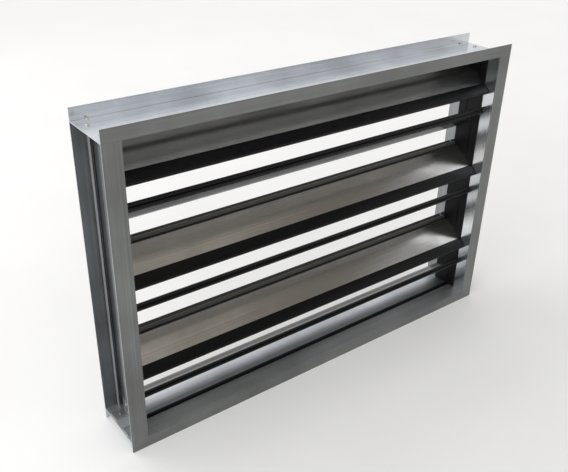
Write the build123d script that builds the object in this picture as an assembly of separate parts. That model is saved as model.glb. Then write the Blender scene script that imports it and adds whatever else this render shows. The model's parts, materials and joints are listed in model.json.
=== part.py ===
"""Opposed-blade volume control damper for a 900 x 610 mm duct opening.

Frame: X across the duct, Y along the air flow (front face towards -Y), Z up.
The origin is on the floor line, at mid width and at mid depth, below the blade pivots.
"""

import os
from math import acos, cos, pi, radians, sin, tan

from build123d import *

# ---------------------------------------------------------------- driving dimensions, mm
OPENING_W = 900.0
OPENING_H = 610.0
DEPTH = 122.0
WALL = 2.0
CORNER_R = 1.0  # inside corners of the frame sections
RAIL_REACH = 24.5  # how far the rail flanges stand out, web included
STILE_REACH = 34.5  # how far the stile flanges stand out, web included

BLADE_COUNT = 6
PITCH = 100.0
REST_TILT = 36.5  # blade angle from level in the stored, part-open position
BLADE_GAP = 0.5  # blade end to side seal

BODY_HALF = 29.5  # half width of the aluminium part of a blade
BODY_T = 15.0  # blade thickness at mid chord
EDGE_T = 14.4  # blade thickness where the rubber starts
SKIN = 1.3  # wall of the blade extrusion
SLOT_NECK = (2.4, 3.2)  # mouth of the T slots for the rubber
SLOT_HEAD = (6.0, 3.2)
SLOT_NECK_AT = 1.5  # depths of their middles below the blade's edge face
SLOT_HEAD_AT = 4.6
TUBE_R = 7.0  # round the shaft socket
SQUARE = 7.0  # square of the stub shafts
SOCKET_DEPTH = 40.0

NOSE_TIP = 54.4  # pivot to the tip of the thick lower-edge rubber
LIP_TIP = 53.2  # pivot to the tip of the thin upper-edge lip
EDGE_BOW = 42.0  # where both rubbers start to taper
SHOULDER = 51.5  # where their outer faces end and the tip rounds off
SHOULDER_W = 6.3  # outer face to the blade's mid plane there
NOSE_BACK = 2.2  # rear face of the nose beyond the mid plane
NOSE_STEP = 46.0  # the nose is stepped back beyond this, for the next blade's lip
NOSE_R = 1.6  # round at the nose's rear corner
NOSE_BORES = ((0, -38.0, 3.6), (-2.0, -48.4, 2.3))  # hollows that keep the rubber soft: place, radius
LIP_BACK = 3.8  # contact face of the thin lip to the mid plane
LIP_BORE = (-3.2, -36.5, 2.0)
EDGE_CROWN = 0.1  # the outer faces of both rubbers lean in by this at the bow
BULB_R = 4.2
BULB_BORE_R = 2.6
BULB_AT = (2.8, -39.3)

SIDE_SEAL_W = 64.0
SIDE_SEAL_T = 1.6
SIDE_SEAL_BEVEL = 0.8
GROOVE_W = 2.5
GROOVE_DEPTH = 0.8
GROOVE_STOP = 6.0  # a groove ends this far from a bush hole, and twice as far from a rail
GROOVE_FRONT = -12.0  # grooves alternate between these two lines across the seal
GROOVE_REAR = 8.0

RAIL_BEAD_R = 2.0
RAIL_STRIP_W = 8.0
RAIL_STRIP_T = 1.2
RAIL_BEAD_LIFT = 0.2  # underside of the bead above the rail
TOP_BEAD_Y = 0.8
BOTTOM_BEAD_Y = -9.2

JOURNAL_R = 6.0
RUNNING_GAP = 0.05
BUSH_R = 9.0
BUSH_FLANGE_R = 13.0
BUSH_FLANGE_T = 3.0
EASE = 0.8  # chamfer on bushes and shaft ends

MODULE = 4.0
TEETH = 25
ADDENDUM = 3.2
DEDENDUM = 5.0
BACKLASH = 0.5
PRESSURE_ANGLE = radians(20.0)
GEAR_FACE = 10.0
GEAR_SETBACK = 6.0  # inner end of the hub to the toothed rim
GEAR_HUB = 18.0
GEAR_WEB = 4.0
GEAR_RIM_R = 40.0
GEAR_HUB_R = 11.0
SPOKES = 5
SPOKE_HOLE_R = 8.5
SPOKE_HOLE_AT = 26.0
CLIP_R = 8.0
CLIP_T = 1.5

DRIVEN = 3
SPINDLE_SOCKET = 20.0
SQUARE_STUB = 4.0  # square beyond a gear that has a clip
SPINDLE_OUT = 40.0  # spindle beyond the flange edge

SCREW_R = 2.0
SCREW_REACH = 6.5  # through rail and cleat
PORT_SCREW_REACH = 14.0
HEAD_R = 4.0
PORT_HEAD_R = 3.0
HEAD_T = 2.2
HEAD_ROUND = 1.2
CROSS = (3.6, 0.8, 1.6)  # driver recess: length, width and twice its depth
PORT_R = 4.6  # screw port outside
PORT_SLOT = (4.0, 1.6)
PORT_SLOT_AT = 3.4
RIVET_R = 1.6
RIVET_HEAD_R = 3.2
RIVET_HEAD_T = 1.4
RIVET_ROUND = 0.9

# ---------------------------------------------------------------- derived places
HALF_W = OPENING_W / 2
HALF_D = DEPTH / 2
BASE_Z = RAIL_REACH
TOP_Z = RAIL_REACH + OPENING_H
FRAME_W = OPENING_W + 2 * STILE_REACH
MARGIN = (OPENING_H - (BLADE_COUNT - 1) * PITCH) / 2
SEAL_X = HALF_W - SIDE_SEAL_T
BLADE_END = SEAL_X - BLADE_GAP
STILE_OUT = HALF_W + WALL
HUB_X = STILE_OUT + BUSH_FLANGE_T + 1.0
HUB_END = HUB_X + GEAR_HUB
PORT_OFFSET = WALL + 4.0  # screw port centre from the outer faces of web and flange
PORT_Y = HALF_D - PORT_OFFSET
PORT_X = HALF_W + PORT_OFFSET
CLEAT_Y = 26.0
CLEAT_WIDTH = 24.0
CLEAT_LEG = 30.0
CLEAT_BEND_R = 1.5
RIVET_DROP = CLEAT_LEG * 0.6  # rivet to the rail's web
SCREW_X = HALF_W + 18.0
SIDES = {"left": -1, "right": 1}


def pivot_z(number):
    """Height of a blade's pivot; blade 1 is the top one."""
    return BASE_Z + MARGIN + (BLADE_COUNT - number) * PITCH


def stored_angle(number):
    """Turn about +X from shut to the stored position: odd and even blades turn opposite ways."""
    turn = 90.0 - REST_TILT
    return -turn if number % 2 else turn


def along_x(profile, start, length):
    """Extrude a (Y, Z) profile along X."""
    return extrude(Plane(origin=(start, 0, 0), x_dir=(0, 1, 0), z_dir=(1, 0, 0)) * profile, length)


def rod(radius, start, end):
    """Round bar along X on the pivot line at Y = Z = 0."""
    return along_x(Circle(radius), start, end - start)


def square_bar(size, start, end):
    """Square bar along X on the pivot line at Y = Z = 0."""
    return along_x(Rectangle(size, size), start, end - start)


def save(node, *solids):
    """Write one node; several solids make a group of separate pieces."""
    shape = solids[0] if len(solids) == 1 else Compound(children=list(solids))
    export_step(shape, f"parts/{node}.step")


# ---------------------------------------------------------------- frame
def channel(reach):
    """C profile: web on the local X axis, flanges standing up along local Y."""
    with BuildSketch() as sketch:
        with BuildLine():
            Polyline(
                (-HALF_D, 0),
                (HALF_D, 0),
                (HALF_D, reach),
                (HALF_D - WALL, reach),
                (HALF_D - WALL, WALL),
                (-HALF_D + WALL, WALL),
                (-HALF_D + WALL, reach),
                (-HALF_D, reach),
                close=True,
            )
        make_face()
        inner = sketch.vertices().group_by(Axis.Y)[1].sort_by(Axis.X)
        fillet([inner[0], inner[-1]], CORNER_R)
    return sketch.sketch


def screw_places():
    """(x, y, head radius) of the screws through a rail, both ends."""
    places = []
    for side in SIDES.values():
        for across in (-1, 1):
            places.append((side * SCREW_X, across * CLEAT_Y, HEAD_R))
            places.append((side * PORT_X, across * PORT_Y, PORT_HEAD_R))
    return places


def make_rail(top):
    """Full-width channel: its web closes the opening, its flanges stand outwards."""
    outward = 1 if top else -1
    web_z = TOP_Z if top else BASE_Z
    plane = Plane(origin=(-FRAME_W / 2, 0, web_z), x_dir=(0, outward, 0), z_dir=(1, 0, 0))
    rail = extrude(plane * channel(RAIL_REACH), FRAME_W)
    for x, y, _ in screw_places():
        rail -= Pos(x, y, web_z) * Cylinder(SCREW_R, 4 * WALL)
    return rail


def make_stile(side):
    """Side channel between the rails, with screw ports in its corners."""
    profile = channel(STILE_REACH)
    for across in (-1, 1):
        port = Pos(across * PORT_Y, PORT_OFFSET) * (Circle(PORT_R) - Circle(SCREW_R))
        slot = Pos(across * (PORT_Y - PORT_SLOT_AT), PORT_OFFSET) * Rectangle(*PORT_SLOT)
        profile = profile + port - slot
        profile -= Pos(across * PORT_Y, PORT_OFFSET) * Circle(SCREW_R)
    plane = Plane(origin=(side * HALF_W, 0, BASE_Z), x_dir=(0, -side, 0), z_dir=(0, 0, 1))
    stile = extrude(plane * profile, OPENING_H)
    for number in range(1, BLADE_COUNT + 1):
        stile -= Pos(side * HALF_W, 0, pivot_z(number)) * Rot(0, 90, 0) * Cylinder(BUSH_R, 4 * WALL)
    for y, z in rivet_places():
        stile -= Pos(side * HALF_W, y, z) * Rot(0, 90, 0) * Cylinder(RIVET_R, 4 * WALL)
    return stile


def rivet_places():
    """(y, z) of the cleat rivets in one stile."""
    return [(y, z) for y in (-CLEAT_Y, CLEAT_Y) for z in (BASE_Z + RIVET_DROP, TOP_Z - RIVET_DROP)]


def make_cleats(side, top):
    """Two bent corner angles, front and rear, that tie a stile to a rail."""
    down = -1 if top else 1
    with BuildSketch() as angle:
        with BuildLine():
            Polyline(
                (0, 0),
                (CLEAT_LEG, 0),
                (CLEAT_LEG, WALL),
                (WALL, WALL),
                (WALL, CLEAT_LEG),
                (0, CLEAT_LEG),
                close=True,
            )
        make_face()
        fillet(angle.vertices().group_by(Axis.Y)[1].sort_by(Axis.X)[0], CLEAT_BEND_R)
    rail_z = TOP_Z if top else BASE_Z
    cleats = []
    for y in (-CLEAT_Y, CLEAT_Y):
        corner = (side * STILE_OUT, y, rail_z)
        plane = Plane(origin=corner, x_dir=(side, 0, 0), z_dir=(0, -side * down, 0))
        cleat = extrude(plane * angle.sketch, CLEAT_WIDTH / 2, both=True)
        cleat -= Pos(side * SCREW_X, y, rail_z) * Cylinder(SCREW_R, 4 * WALL)
        rivet_z = rail_z + down * RIVET_DROP
        cleat -= Pos(corner[0], y, rivet_z) * Rot(0, 90, 0) * Cylinder(RIVET_R, 4 * WALL)
        cleats.append(cleat)
    return cleats


def make_screw(x, y, head_r, top):
    """Pan-head screw through a rail web; long ones run into the stile's screw port."""
    reach = PORT_SCREW_REACH if head_r == PORT_HEAD_R else SCREW_REACH
    shank = Pos(0, 0, -reach / 2) * Cylinder(SCREW_R, reach)
    head = Pos(0, 0, HEAD_T / 2) * Cylinder(head_r, HEAD_T)
    head = fillet(head.edges().sort_by(Axis.Z)[-1], HEAD_ROUND)
    recess = Pos(0, 0, HEAD_T) * (Box(*CROSS) + Rot(0, 0, 90) * Box(*CROSS))
    screw = head + shank - recess
    face_z = TOP_Z + WALL if top else BASE_Z - WALL
    return Pos(x, y, face_z) * (Rot() if top else Rot(180, 0, 0)) * screw


def make_rivet(side, y, z):
    """Blind rivet, flush on the air side and domed in the channel."""
    shank = rod(RIVET_R, HALF_W, STILE_OUT + WALL)
    dome = rod(RIVET_HEAD_R, STILE_OUT + WALL, STILE_OUT + WALL + RIVET_HEAD_T)
    dome = fillet(dome.edges().sort_by(Axis.X)[-1], RIVET_ROUND)
    rivet = Pos(0, y, z) * (shank + dome)
    return rivet if side > 0 else mirror(rivet, about=Plane.YZ)


def make_side_seal(side):
    """Wide side seal on a stile with its shaft holes and staggered grooves between the blades."""
    half = SIDE_SEAL_W / 2
    with BuildSketch() as section:
        with BuildLine():
            Polyline(
                (-half, SIDE_SEAL_T),
                (half, SIDE_SEAL_T),
                (half, SIDE_SEAL_BEVEL),
                (half - SIDE_SEAL_BEVEL, 0),
                (-half + SIDE_SEAL_BEVEL, 0),
                (-half, SIDE_SEAL_BEVEL),
                close=True,
            )
        make_face()
    plane = Plane(origin=(side * SEAL_X, 0, BASE_Z), x_dir=(0, -side, 0), z_dir=(0, 0, 1))
    seal = extrude(plane * section.sketch, OPENING_H)
    for number in range(1, BLADE_COUNT + 1):
        seal -= Pos(side * SEAL_X, 0, pivot_z(number)) * Rot(0, 90, 0) * Cylinder(BUSH_R, 3 * WALL)
    for gap in range(BLADE_COUNT + 1):
        y = GROOVE_REAR if gap % 2 else GROOVE_FRONT
        z = pivot_z(gap) - PITCH / 2 if gap else TOP_Z - MARGIN / 2
        inner = 0 < gap < BLADE_COUNT
        tall = PITCH - 2 * BUSH_R - 2 * GROOVE_STOP if inner else MARGIN - 4 * GROOVE_STOP
        z = BASE_Z + MARGIN / 2 if gap == BLADE_COUNT else z
        seal -= Pos(side * SEAL_X, y, z) * Box(2 * GROOVE_DEPTH, GROOVE_W, tall)
    return seal


def make_rail_seal(top):
    """Strip with a soft hollow bead beside the end blade's edge."""
    bead_y = TOP_BEAD_Y if top else BOTTOM_BEAD_Y
    bead_z = RAIL_BEAD_R + RAIL_BEAD_LIFT
    strip_y = bead_y - (RAIL_STRIP_W - RAIL_BEAD_R) / 2
    strip = Pos(strip_y, RAIL_STRIP_T / 2) * Rectangle(RAIL_STRIP_W, RAIL_STRIP_T)
    neck = Pos(bead_y, RAIL_STRIP_T) * Rectangle(RAIL_BEAD_R, RAIL_STRIP_T)
    profile = strip + neck + Pos(bead_y, bead_z) * Circle(RAIL_BEAD_R)
    profile -= Pos(bead_y, bead_z) * Circle(RAIL_BEAD_R / 2)
    if top:
        profile = mirror(profile, about=Plane.XZ)
    return Pos(0, 0, TOP_Z if top else BASE_Z) * along_x(profile, -SEAL_X, 2 * SEAL_X)


def make_bush(side, number):
    """Flanged plastic bush, pushed in from the channel."""
    bush = rod(BUSH_R, SEAL_X, STILE_OUT + BUSH_FLANGE_T)
    flange = rod(BUSH_FLANGE_R, STILE_OUT, STILE_OUT + BUSH_FLANGE_T)
    flange = chamfer(flange.edges().sort_by(Axis.X)[-1], EASE)
    bush = bush + flange - rod(JOURNAL_R + RUNNING_GAP, SEAL_X - 1, HUB_X)
    bush = Pos(0, 0, pivot_z(number)) * bush
    return bush if side > 0 else mirror(bush, about=Plane.YZ)


# ---------------------------------------------------------------- blades, drawn shut
def turned(section):
    """The same shape at the opposite edge and face of the blade."""
    return Rot(0, 0, 180) * section


def seal_slot(grow=0.0):
    """T slot for the rubber's foot in the lower edge of the blade."""
    neck = Rectangle(SLOT_NECK[0] + 2 * grow, SLOT_NECK[1])
    head = Rectangle(SLOT_HEAD[0] + 2 * grow, SLOT_HEAD[1] + 2 * grow)
    return Pos(0, -BODY_HALF + SLOT_NECK_AT) * neck + Pos(0, -BODY_HALF + SLOT_HEAD_AT) * head


def blade_section():
    """Hollow aerofoil: crowned skins, shaft tube in the middle, T slot in each edge."""
    half_t = BODY_T / 2
    half_e = EDGE_T / 2
    with BuildSketch() as outline:
        with BuildLine():
            ThreePointArc((-half_e, -BODY_HALF), (-half_t, 0), (-half_e, BODY_HALF))
            Line((-half_e, BODY_HALF), (half_e, BODY_HALF))
            ThreePointArc((half_e, BODY_HALF), (half_t, 0), (half_e, -BODY_HALF))
            Line((half_e, -BODY_HALF), (-half_e, -BODY_HALF))
        make_face()
    hollow = offset(outline.sketch, -SKIN)
    hollow -= Circle(TUBE_R)
    hollow -= seal_slot(SKIN)
    hollow -= turned(seal_slot(SKIN))
    section = outline.sketch - hollow - Rectangle(SQUARE, SQUARE)
    return section - seal_slot() - turned(seal_slot())


def nose_section():
    """Thick rubber of the lower edge: full-width block, stepped at the back, foot in the T slot.

    Local X is Y (front is negative), local Y is the height from the pivot.
    """
    half_e = EDGE_T / 2
    shoulder = (-SHOULDER_W, -SHOULDER)
    toe = (-SHOULDER_W / 2, -NOSE_TIP)
    corner = (NOSE_BACK - NOSE_R, -NOSE_TIP + NOSE_R)
    heel = (corner[0], -NOSE_TIP)
    rear = (NOSE_BACK, corner[1])
    with BuildSketch() as outline:
        with BuildLine():
            Line((half_e, -BODY_HALF), (-half_e, -BODY_HALF))
            ThreePointArc((-half_e, -BODY_HALF), (-half_e + EDGE_CROWN, -EDGE_BOW), shoulder)
            ThreePointArc(shoulder, (-5.3, -NOSE_TIP + 0.8), toe)
            Line(toe, heel)
            CenterArc(corner, NOSE_R, -90, 90)
            Polyline(
                rear,
                (NOSE_BACK, -NOSE_STEP),
                (half_e - 1.0, -NOSE_STEP + 2.0),
                (half_e, -NOSE_STEP + 3.2),
                (half_e, -BODY_HALF),
            )
        make_face()
    section = outline.sketch + seal_slot()
    for across, along, radius in NOSE_BORES:
        section -= Pos(across, along) * Circle(radius)
    return section


def bulb_section():
    """Rubber of the upper edge, drawn turned to the lower one: thin outer lip, hollow bulb, foot."""
    half_e = EDGE_T / 2
    lip_mid = (SHOULDER_W + LIP_BACK) / 2
    lip_end = -LIP_TIP + (SHOULDER_W - LIP_BACK) / 2
    with BuildSketch() as outline:
        with BuildLine():
            Line((half_e, -BODY_HALF), (-half_e, -BODY_HALF))
            ThreePointArc(
                (-half_e, -BODY_HALF), (-half_e + EDGE_CROWN, -EDGE_BOW), (-SHOULDER_W, lip_end)
            )
            ThreePointArc((-SHOULDER_W, lip_end), (-lip_mid, -LIP_TIP), (-LIP_BACK, lip_end))
            Polyline(
                (-LIP_BACK, lip_end),
                (-LIP_BACK, -EDGE_BOW - 3.0),
                (0.3, -EDGE_BOW),
                (0.3, -EDGE_BOW + 6.5),
                (half_e / 2, -BODY_HALF - 1.7),
                (half_e, -BODY_HALF - 0.9),
                (half_e, -BODY_HALF),
            )
        make_face()
    section = outline.sketch + Pos(*BULB_AT) * Circle(BULB_R) + seal_slot()
    section -= Pos(*BULB_AT) * Circle(BULB_BORE_R)
    return section - Pos(*LIP_BORE[:2]) * Circle(LIP_BORE[2])


def place(shape, number):
    """Turn a shape drawn shut to its stored angle and put it on its pivot."""
    return Pos(0, 0, pivot_z(number)) * Rot(stored_angle(number), 0, 0) * shape


def make_blade(number):
    return place(along_x(blade_section(), -BLADE_END, 2 * BLADE_END), number)


def make_edge_seals(number):
    nose = along_x(nose_section(), -BLADE_END, 2 * BLADE_END)
    bulb = along_x(turned(bulb_section()), -BLADE_END, 2 * BLADE_END)
    return [place(nose, number), place(bulb, number)]


def make_left_shaft(number):
    """Square end in the blade, round journal in the bush."""
    shaft = square_bar(SQUARE, -BLADE_END, -BLADE_END + SOCKET_DEPTH)
    journal = rod(JOURNAL_R, -HUB_X, -BLADE_END)
    journal = chamfer(journal.edges().sort_by(Axis.X)[0], EASE)
    return place(shaft + journal, number)


def make_right_shaft(number):
    """Square in the blade, journal in the bush, square for the gear and its clip or spindle."""
    end = HUB_END + (SPINDLE_SOCKET if number == DRIVEN else SQUARE_STUB)
    shaft = square_bar(SQUARE, BLADE_END - SOCKET_DEPTH, BLADE_END)
    shaft += rod(JOURNAL_R, BLADE_END, HUB_X)
    shaft += square_bar(SQUARE, HUB_X, end)
    return place(shaft, number)


# ---------------------------------------------------------------- gear train
def involute(angle):
    return tan(angle) - angle


def gear_outline():
    """Spur gear with involute flanks, one tooth straight up; an odd count leaves a gap below."""
    pitch_r = MODULE * TEETH / 2
    base_r = pitch_r * cos(PRESSURE_ANGLE)
    half_at_pitch = (pi * MODULE / 2 - BACKLASH) / (2 * pitch_r)
    flank = []
    for radius in (pitch_r - DEDENDUM, pitch_r, pitch_r + ADDENDUM):
        roll = acos(min(1.0, base_r / radius))
        flank.append((radius, half_at_pitch + involute(PRESSURE_ANGLE) - involute(roll)))
    points = []
    for tooth in range(TEETH):
        middle = pi / 2 + 2 * pi * tooth / TEETH
        for radius, half in flank:
            points.append((radius * cos(middle - half), radius * sin(middle - half)))
        for radius, half in reversed(flank):
            points.append((radius * cos(middle + half), radius * sin(middle + half)))
    return make_face(Polyline(*points, close=True))


def make_gear(number):
    """Moulded gear: toothed rim, thin web with five holes, hub with a square bore."""
    rim_x = HUB_X + GEAR_SETBACK
    web_x = rim_x + (GEAR_FACE - GEAR_WEB) / 2
    gear = along_x(gear_outline() - Circle(GEAR_RIM_R), rim_x, GEAR_FACE)
    web = Circle(GEAR_RIM_R)
    for spoke in range(SPOKES):
        web -= Rot(0, 0, 360 * spoke / SPOKES) * Pos(0, SPOKE_HOLE_AT) * Circle(SPOKE_HOLE_R)
    gear += along_x(web, web_x, GEAR_WEB)
    gear += rod(GEAR_HUB_R, HUB_X, HUB_END)
    bore = Rot(stored_angle(number), 0, 0) * square_bar(SQUARE, HUB_X - 1, HUB_END + 1)
    return Pos(0, 0, pivot_z(number)) * (gear - bore)


def make_clip(number):
    """Push-on clip that keeps a gear on its square."""
    clip = rod(CLIP_R, HUB_END, HUB_END + CLIP_T)
    return place(clip - square_bar(SQUARE, HUB_END - CLIP_T, HUB_END + 2 * CLIP_T), number)


def make_spindle():
    """Round drive spindle, socketed on the driven blade's square."""
    end = FRAME_W / 2 + SPINDLE_OUT
    spindle = rod(JOURNAL_R, HUB_END, end)
    spindle = chamfer(spindle.edges().sort_by(Axis.X)[-1], EASE)
    return place(spindle - square_bar(SQUARE, HUB_END - 1, HUB_END + SPINDLE_SOCKET), DRIVEN)


# ---------------------------------------------------------------- write every node
def main():
    os.makedirs("parts", exist_ok=True)
    save("top_rail", make_rail(True))
    save("bottom_rail", make_rail(False))
    save("top_rail_seal", make_rail_seal(True))
    save("bottom_rail_seal", make_rail_seal(False))
    numbers = range(1, BLADE_COUNT + 1)
    for name, side in SIDES.items():
        save(f"{name}_stile", make_stile(side))
        save(f"{name}_jamb_seal", make_side_seal(side))
        save(f"bushes_{name}", *[make_bush(side, n) for n in numbers])
        save(f"cleats_top_{name}", *make_cleats(side, True))
        save(f"cleats_bottom_{name}", *make_cleats(side, False))
    screws = [make_screw(x, y, r, top) for x, y, r in screw_places() for top in (True, False)]
    save("corner_screws", *screws)
    save("cleat_rivets", *[make_rivet(s, y, z) for s in SIDES.values() for y, z in rivet_places()])
    for number in numbers:
        save(f"blade_{number}", make_blade(number))
        save(f"edge_seals_{number}", *make_edge_seals(number))
        save(f"left_shaft_{number}", make_left_shaft(number))
        save(f"right_shaft_{number}", make_right_shaft(number))
        save(f"gear_{number}", make_gear(number))
        if number != DRIVEN:
            save(f"clip_{number}", make_clip(number))
    save("drive_spindle", make_spindle())


main()
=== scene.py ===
"""Looks for the volume control damper: materials, floor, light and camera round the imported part."""

import json
import math

import bmesh
import bpy
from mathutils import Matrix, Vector


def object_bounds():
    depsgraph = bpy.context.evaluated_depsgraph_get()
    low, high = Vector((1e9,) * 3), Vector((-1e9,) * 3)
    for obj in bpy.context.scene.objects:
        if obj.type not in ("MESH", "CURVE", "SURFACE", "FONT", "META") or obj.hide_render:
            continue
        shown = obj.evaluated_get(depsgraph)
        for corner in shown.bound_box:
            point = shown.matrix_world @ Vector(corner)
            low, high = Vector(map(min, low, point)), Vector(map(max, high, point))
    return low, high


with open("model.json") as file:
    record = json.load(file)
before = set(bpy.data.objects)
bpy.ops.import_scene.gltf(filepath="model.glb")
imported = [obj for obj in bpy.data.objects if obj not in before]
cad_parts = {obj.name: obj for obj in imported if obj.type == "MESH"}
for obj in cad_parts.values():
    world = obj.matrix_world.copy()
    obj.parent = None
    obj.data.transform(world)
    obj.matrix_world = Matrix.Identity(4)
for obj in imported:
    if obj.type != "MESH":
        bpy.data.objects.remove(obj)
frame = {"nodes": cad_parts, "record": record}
cad_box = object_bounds()
nodes = frame["nodes"]
centre = (cad_box[0] + cad_box[1]) / 2
pivot_heights = sorted(joint["pos_m"][2] for joint in frame["record"]["behaviour"]["joints"])
LOWEST_PIVOT = pivot_heights[0]
PITCH = pivot_heights[1] - pivot_heights[0]
slot_of = {part["node"]: part["material_slot"] for part in frame["record"]["subparts"]}

# ---------------------------------------------------------------- camera, metres and degrees
CAMERA_AT = (-0.88513, -1.05085, 1.05209)
CAMERA_TURN = (61.202, -1.216, -36.585)
CAMERA_LENS = 46.33

# ---------------------------------------------------------------- light
FLOOR_SIDE = 24.0
# Extra white of the floor as it is seen: (distance from the damper over the floor's side, amount).
FLOOR_GLOW = [(0.03, 0.12), (0.11, 0.28), (0.30, 0.36)]
# Room brightness by height above the horizon: (sine of the elevation, colour).
ROOM = [
    (0.00, (1.00, 1.00, 1.00)),
    (0.62, (0.98, 1.00, 1.04)),
    (0.69, (0.80, 0.82, 0.85)),
    (0.71, (0.15, 0.125, 0.10)),
    (0.78, (0.17, 0.15, 0.12)),
    (0.82, (0.50, 0.47, 0.41)),
    (0.92, (0.62, 0.59, 0.53)),
]
# Softboxes: name, direction from the damper, distance, side in metres, brightness.
SOFTBOXES = [
    ("left_softbox", (-0.72, -0.19, 0.67), 2.6, 1.5, 2.4),
    ("rear_softbox", (-0.30, 0.52, 0.80), 2.8, 2.0, 1.6),
]

# ---------------------------------------------------------------- surfaces, metres and colours
FACE_MARGIN = 0.0004
OUTER_FACE_Y = cad_box[1].y - FACE_MARGIN  # just inside the flange faces that meet the duct
CHANNEL_X = 0.4508  # just outside the air side of the stile webs
GROOVE_X = 0.4488  # between the face of a jamb seal and the floor of its grooves
REAR_LAND_Y = 0.031  # just short of the rear edge of the jamb seals
DRAWN = 260.0  # drawing lines across an extrusion, per metre
ALONG = 1.6  # the same scale along it, so that the lines run long
# painted shade on the faces of the stiles' outer channel
CHANNEL_PAINTED_SHADE = (0.78, 0.785, 0.78)
# painted shade on all that lies behind the jamb seals
REAR_LAND_SHADE = 0.48
GRAZING_TINT = (0.15, 0.15, 0.16, 1.0)  # blade skins stay grey where they are seen edge on
RUBBER_GLOSS = 0.17
BULB_PAINTED_HIGHLIGHT = (0.060, 0.060, 0.056)  # painted highlight on the bulbs that point up and to the rear
# painted shade on the floors of the jamb seals' grooves
GROOVE_PAINTED_SHADE = (0.0004, 0.0004, 0.0004)


def fill_ramp(node, stops):
    """Give a colour ramp node its (position, grey or colour) stops."""
    elements = node.color_ramp.elements
    while len(elements) < len(stops):
        elements.new(0.5)
    for element, (position, colour) in zip(elements, stops):
        element.position = position
        rgb = (colour,) * 3 if isinstance(colour, (int, float)) else colour
        element.color = (*rgb, 1.0)


class Shader:
    """A material under construction: its nodes, links and Principled shader."""

    def __init__(self, name):
        self.material = bpy.data.materials.new(name)
        self.material.use_nodes = True
        self.tree = self.material.node_tree
        self.shader = self.tree.nodes["Principled BSDF"]
        coordinates = self.add("ShaderNodeTexCoord")
        self.place = coordinates.outputs["Object"]

    def add(self, kind, **values):
        node = self.tree.nodes.new(kind)
        for key, value in values.items():
            setattr(node, key, value)
        return node

    def link(self, output, socket):
        self.tree.links.new(output, socket)

    def set(self, **values):
        for key, value in values.items():
            self.shader.inputs[key.replace("_", " ")].default_value = value

    def stretched(self, scale):
        mapping = self.add("ShaderNodeMapping")
        mapping.inputs["Scale"].default_value = scale
        self.link(self.place, mapping.inputs["Vector"])
        return mapping.outputs["Vector"]

    def noise(self, scale, detail=4.0, roughness=0.5, stretch=(1, 1, 1), distortion=0.0):
        node = self.add("ShaderNodeTexNoise")
        self.link(self.stretched(stretch), node.inputs["Vector"])
        node.inputs["Scale"].default_value = scale
        node.inputs["Detail"].default_value = detail
        node.inputs["Roughness"].default_value = roughness
        node.inputs["Distortion"].default_value = distortion
        return node.outputs["Fac"]

    def ramp(self, factor, stops):
        """Colour ramp through (position, grey or colour) stops."""
        node = self.add("ShaderNodeValToRGB")
        fill_ramp(node, stops)
        self.link(factor, node.inputs["Fac"])
        return node.outputs["Color"]

    def math(self, operation, a, b=None):
        node = self.add("ShaderNodeMath", operation=operation)
        for value, socket in ((a, node.inputs[0]), (b, node.inputs[1])):
            if isinstance(value, (int, float)):
                socket.default_value = value
            elif value is not None:
                self.link(value, socket)
        return node.outputs["Value"]

    def mix(self, factor, a, b, blend="MIX"):
        node = self.add("ShaderNodeMix", data_type="RGBA", blend_type=blend)
        for value, name in ((factor, "Factor"), (a, "A"), (b, "B")):
            socket = node.inputs[name]
            if isinstance(value, (int, float)):
                socket.default_value = value
            elif isinstance(value, tuple):
                socket.default_value = (*value, 1.0)
            else:
                self.link(value, socket)
        return node.outputs["Result"]

    def bump(self, height, strength, distance):
        node = self.add("ShaderNodeBump")
        node.inputs["Strength"].default_value = strength
        node.inputs["Distance"].default_value = distance
        self.link(height, node.inputs["Height"])
        self.link(node.outputs["Normal"], self.shader.inputs["Normal"])

    def along(self, axis):
        parts = self.add("ShaderNodeSeparateXYZ")
        self.link(self.place, parts.inputs["Vector"])
        return parts.outputs[axis]

    def beyond(self, axis, limit):
        """1 where the distance from the middle plane along an axis passes the limit, 0 elsewhere."""
        return self.math("GREATER_THAN", self.math("ABSOLUTE", self.along(axis)), limit)


def drawn_stretch(axis):
    """Texture scale that draws noise out into lines along one axis."""
    return tuple(ALONG if name == axis else DRAWN for name in "XYZ")


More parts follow.
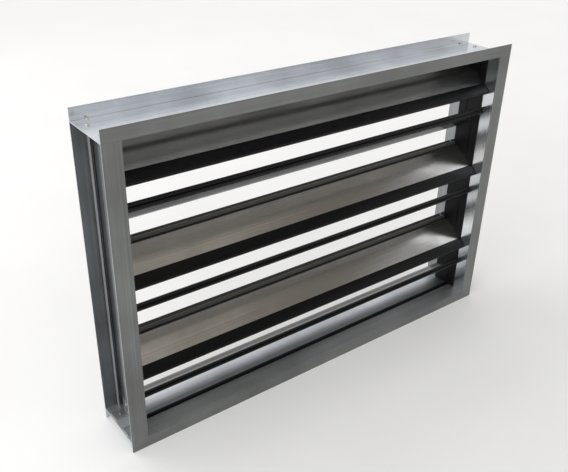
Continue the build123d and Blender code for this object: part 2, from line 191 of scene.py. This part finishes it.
def extrusion(name, axis, polish, is_stile=0):
    """Mill finish frame aluminium with drawing lines along one axis.

    The flange faces that meet the duct have a duller, less metallic finish, and their colour is also
    painted dark as a painted reflection. Where is_stile is 1, the faces of the outer channel are rougher
    and carry painted shade, and all that lies behind the jamb seals is painted darker as painted shade.
    """
    s = Shader(name)
    lines = s.noise(1.0, detail=5.0, roughness=0.6, stretch=drawn_stretch(axis))
    clouds = s.noise(7.0, detail=4.0, roughness=0.55)
    bright = s.ramp(lines, [(0.3, (0.57, 0.595, 0.62)), (0.7, (0.72, 0.74, 0.76))])
    # flange faces that meet the duct: a duller finish, with their colour also painted dark as a painted
    # reflection of dark surroundings
    dull_painted_reflection = s.ramp(lines, [(0.3, (0.145, 0.150, 0.147)), (0.7, (0.205, 0.212, 0.206))])
    outer = s.beyond("Y", OUTER_FACE_Y)
    # the outer channel and the rear land get painted shade: darker colour standing in for the shade that
    # falls there
    channel = s.math("MULTIPLY", s.beyond("X", CHANNEL_X), is_stile)
    painted_shade = s.ramp(channel, [(0.0, 1.0), (1.0, CHANNEL_PAINTED_SHADE)])
    shade = s.ramp(clouds, [(0.3, 0.80), (0.7, 1.12)])
    rear_land = s.math("MULTIPLY", s.math("GREATER_THAN", s.along("Y"), REAR_LAND_Y), is_stile)
    painted_shade = s.mix(1.0, painted_shade, s.ramp(rear_land, [(0.0, 1.0), (1.0, REAR_LAND_SHADE)]), "MULTIPLY")
    bright = s.mix(1.0, bright, painted_shade, "MULTIPLY")
    base = s.mix(1.0, s.mix(outer, bright, dull_painted_reflection), shade, "MULTIPLY")
    s.link(base, s.shader.inputs["Base Color"])
    grind = s.ramp(lines, [(0.25, polish), (0.75, polish + 0.12)])
    rough = s.mix(channel, grind, s.ramp(lines, [(0.25, 0.32), (0.75, 0.44)]))
    s.link(rough, s.shader.inputs["Roughness"])
    s.link(s.ramp(outer, [(0.0, 0.95), (1.0, 0.60)]), s.shader.inputs["Metallic"])
    s.bump(lines, strength=0.08, distance=0.0004)
    return s.material


def blade_metal():
    """Mill finish blade skin: blotchy warm grey with drawing lines."""
    s = Shader("blade_aluminium")
    lines = s.noise(1.0, detail=5.0, roughness=0.6, stretch=drawn_stretch("X"))
    blotches = s.noise(14.0, detail=6.0, roughness=0.55, stretch=(0.6, 1.0, 1.0), distortion=0.2)
    tone = s.ramp(blotches, [
        (0.30, (0.36, 0.35, 0.33)),
        (0.55, (0.42, 0.41, 0.39)),
        (0.75, (0.48, 0.475, 0.46)),
    ])
    streak = s.ramp(lines, [(0.3, 0.90), (0.7, 1.08)])
    s.link(s.mix(1.0, tone, streak, "MULTIPLY"), s.shader.inputs["Base Color"])
    s.link(s.ramp(blotches, [(0.3, 0.25), (0.7, 0.17)]), s.shader.inputs["Roughness"])
    s.set(Metallic=0.95, Specular_Tint=GRAZING_TINT)
    s.bump(lines, strength=0.10, distance=0.0004)
    return s.material


def in_groove(s):
    """1 on the floors of the jamb seals' grooves, where painted shade goes."""
    return s.beyond("X", GROOVE_X)


def on_rear_bulb(s):
    """1 on the bulb edges that point up and to the rear in the stored position, where a highlight is
    painted.
    """
    cycle = s.math("DIVIDE", s.math("SUBTRACT", s.along("Z"), LOWEST_PIVOT), PITCH)
    upper = s.math("LESS_THAN", s.math("FRACT", cycle), 0.5)
    return s.math("MULTIPLY", upper, s.math("GREATER_THAN", s.along("Y"), 0.0))


def rubber(name, dark, light, rough, where, tint):
    """Black elastomer: fine grain, a faint bloom, and a flat tint where a mask says so: a painted
    highlight on the rear bulbs, painted shade on the groove floors.
    """
    s = Shader(name)
    grain = s.noise(900.0, detail=3.0, roughness=0.6)
    bloom = s.noise(22.0, detail=4.0, roughness=0.6, stretch=(0.5, 1.0, 1.0))
    # the masked tint is painted light: a painted highlight on the bulbs, painted shade in the grooves
    base = s.mix(where(s), s.ramp(bloom, [(0.3, dark), (0.75, light)]), tint)
    s.link(base, s.shader.inputs["Base Color"])
    s.link(s.ramp(grain, [(0.3, rough - 0.06), (0.7, rough + 0.08)]), s.shader.inputs["Roughness"])
    s.set(Specular_IOR_Level=RUBBER_GLOSS)
    s.bump(grain, strength=0.08, distance=0.0002)
    return s.material


def moulded(name, dark, light):
    """Moulded plastic with a fine spark-eroded grain."""
    s = Shader(name)
    grain = s.noise(1400.0, detail=2.0, roughness=0.5)
    flow = s.noise(40.0, detail=3.0, roughness=0.5)
    s.link(s.ramp(flow, [(0.3, dark), (0.7, light)]), s.shader.inputs["Base Color"])
    s.link(s.ramp(grain, [(0.3, 0.42), (0.7, 0.56)]), s.shader.inputs["Roughness"])
    s.bump(grain, strength=0.2, distance=0.0002)
    return s.material


def plated(name, dark, light, rough, scale):
    """Plated steel: blotchy zinc over a metallic base."""
    s = Shader(name)
    spangle = s.noise(scale, detail=3.0, roughness=0.5)
    s.link(s.ramp(spangle, [(0.35, dark), (0.65, light)]), s.shader.inputs["Base Color"])
    s.link(s.ramp(spangle, [(0.3, rough + 0.08), (0.7, rough - 0.05)]), s.shader.inputs["Roughness"])
    s.set(Metallic=0.9)
    s.bump(spangle, strength=0.06, distance=0.0002)
    return s.material


materials = {
    "blade_aluminium": blade_metal(),
    "edge_rubber": rubber(
        "edge_rubber", (0.0010, 0.0011, 0.0014), (0.0024, 0.0025, 0.0029), 0.26, on_rear_bulb, BULB_PAINTED_HIGHLIGHT
    ),
    "seal_strip": rubber(
        "seal_strip", (0.0045, 0.0047, 0.0055), (0.008, 0.0083, 0.0095), 0.40, in_groove, GROOVE_PAINTED_SHADE
    ),
    "bush_plastic": moulded("bush_plastic", (0.03, 0.03, 0.032), (0.05, 0.05, 0.052)),
    "gear_plastic": moulded("gear_plastic", (0.035, 0.036, 0.04), (0.055, 0.056, 0.06)),
    "shaft_steel": plated("shaft_steel", (0.42, 0.42, 0.43), (0.60, 0.60, 0.61), 0.30, 180.0),
    "fastener_steel": plated("fastener_steel", (0.46, 0.46, 0.45), (0.66, 0.65, 0.62), 0.28, 300.0),
    "cleat_steel": plated("cleat_steel", (0.34, 0.35, 0.36), (0.52, 0.53, 0.55), 0.36, 90.0),
}
frame_metals = {
    "top_rail": extrusion("frame_aluminium_rail", "X", 0.14),
    "bottom_rail": extrusion("frame_aluminium_sill", "X", 0.36),
    "stile": extrusion("frame_aluminium_stile", "Z", 0.14, is_stile=1),
}

for name, obj in nodes.items():
    slot = slot_of[name]
    if slot == "frame_aluminium":
        material = frame_metals["stile" if name.endswith("stile") else name]
    else:
        material = materials[slot]
    obj.data.materials.clear()
    obj.data.materials.append(material)


# ---------------------------------------------------------------- floor, room and lamps
def make_floor():
    """Pale matte floor that keeps the shadow and looks whiter further from the damper."""
    mesh = bpy.data.meshes.new("studio_floor")
    sheet = bmesh.new()
    bmesh.ops.create_grid(sheet, x_segments=8, y_segments=8, size=FLOOR_SIDE / 2)
    sheet.to_mesh(mesh)
    sheet.free()
    floor = bpy.data.objects.new("studio_floor", mesh)
    bpy.context.scene.collection.objects.link(floor)
    s = Shader("studio_floor")
    s.link(s.ramp(s.noise(3.0, detail=2.0), [(0.3, 0.82), (0.7, 0.85)]), s.shader.inputs["Base Color"])
    s.set(Roughness=1.0, Specular_IOR_Level=0.0, Emission_Color=(1.0, 1.0, 1.0, 1.0))
    path = s.add("ShaderNodeLightPath")
    seen = s.math("MAXIMUM", path.outputs["Is Camera Ray"], path.outputs["Is Glossy Ray"])
    seen = s.math("MAXIMUM", seen, path.outputs["Is Transmission Ray"])
    away = s.add("ShaderNodeVectorMath", operation="LENGTH")
    s.link(s.place, away.inputs[0])
    distance = s.math("DIVIDE", away.outputs["Value"], FLOOR_SIDE)
    glow = s.ramp(distance, FLOOR_GLOW)
    s.link(s.math("MULTIPLY", seen, glow), s.shader.inputs["Emission Strength"])
    mesh.materials.append(s.material)


def make_room():
    """World light by elevation: white low down, a dark band near 45 to 51 degrees, a warm grey ceiling."""
    world = bpy.data.worlds.new("studio")
    bpy.context.scene.world = world
    world.use_nodes = True
    tree = world.node_tree
    direction = tree.nodes.new("ShaderNodeTexCoord")
    parts = tree.nodes.new("ShaderNodeSeparateXYZ")
    ramp = tree.nodes.new("ShaderNodeValToRGB")
    fill_ramp(ramp, ROOM)
    tree.links.new(direction.outputs["Generated"], parts.inputs["Vector"])
    tree.links.new(parts.outputs["Z"], ramp.inputs["Fac"])
    tree.links.new(ramp.outputs["Color"], tree.nodes["Background"].inputs["Color"])


def softbox(name, direction, distance, side, brightness):
    """Square area lamp that faces the damper's middle."""
    data = bpy.data.lights.new(name, "AREA")
    data.size = side
    data.energy = brightness * math.pi * side**2
    lamp = bpy.data.objects.new(name, data)
    bpy.context.scene.collection.objects.link(lamp)
    lamp.location = centre + distance * Vector(direction)
    lamp.rotation_euler = (-Vector(direction)).to_track_quat("-Z", "Y").to_euler()


make_floor()
make_room()
for name, direction, distance, side, brightness in SOFTBOXES:
    softbox(name, direction, distance, side, brightness)

camera_data = bpy.data.cameras.new("camera")
camera_data.lens = CAMERA_LENS
camera = bpy.data.objects.new("camera", camera_data)
bpy.context.scene.collection.objects.link(camera)
camera.location = CAMERA_AT
camera.rotation_euler = [math.radians(a) for a in CAMERA_TURN]
bpy.context.scene.camera = camera
bpy.context.scene.view_settings.view_transform = "Standard"
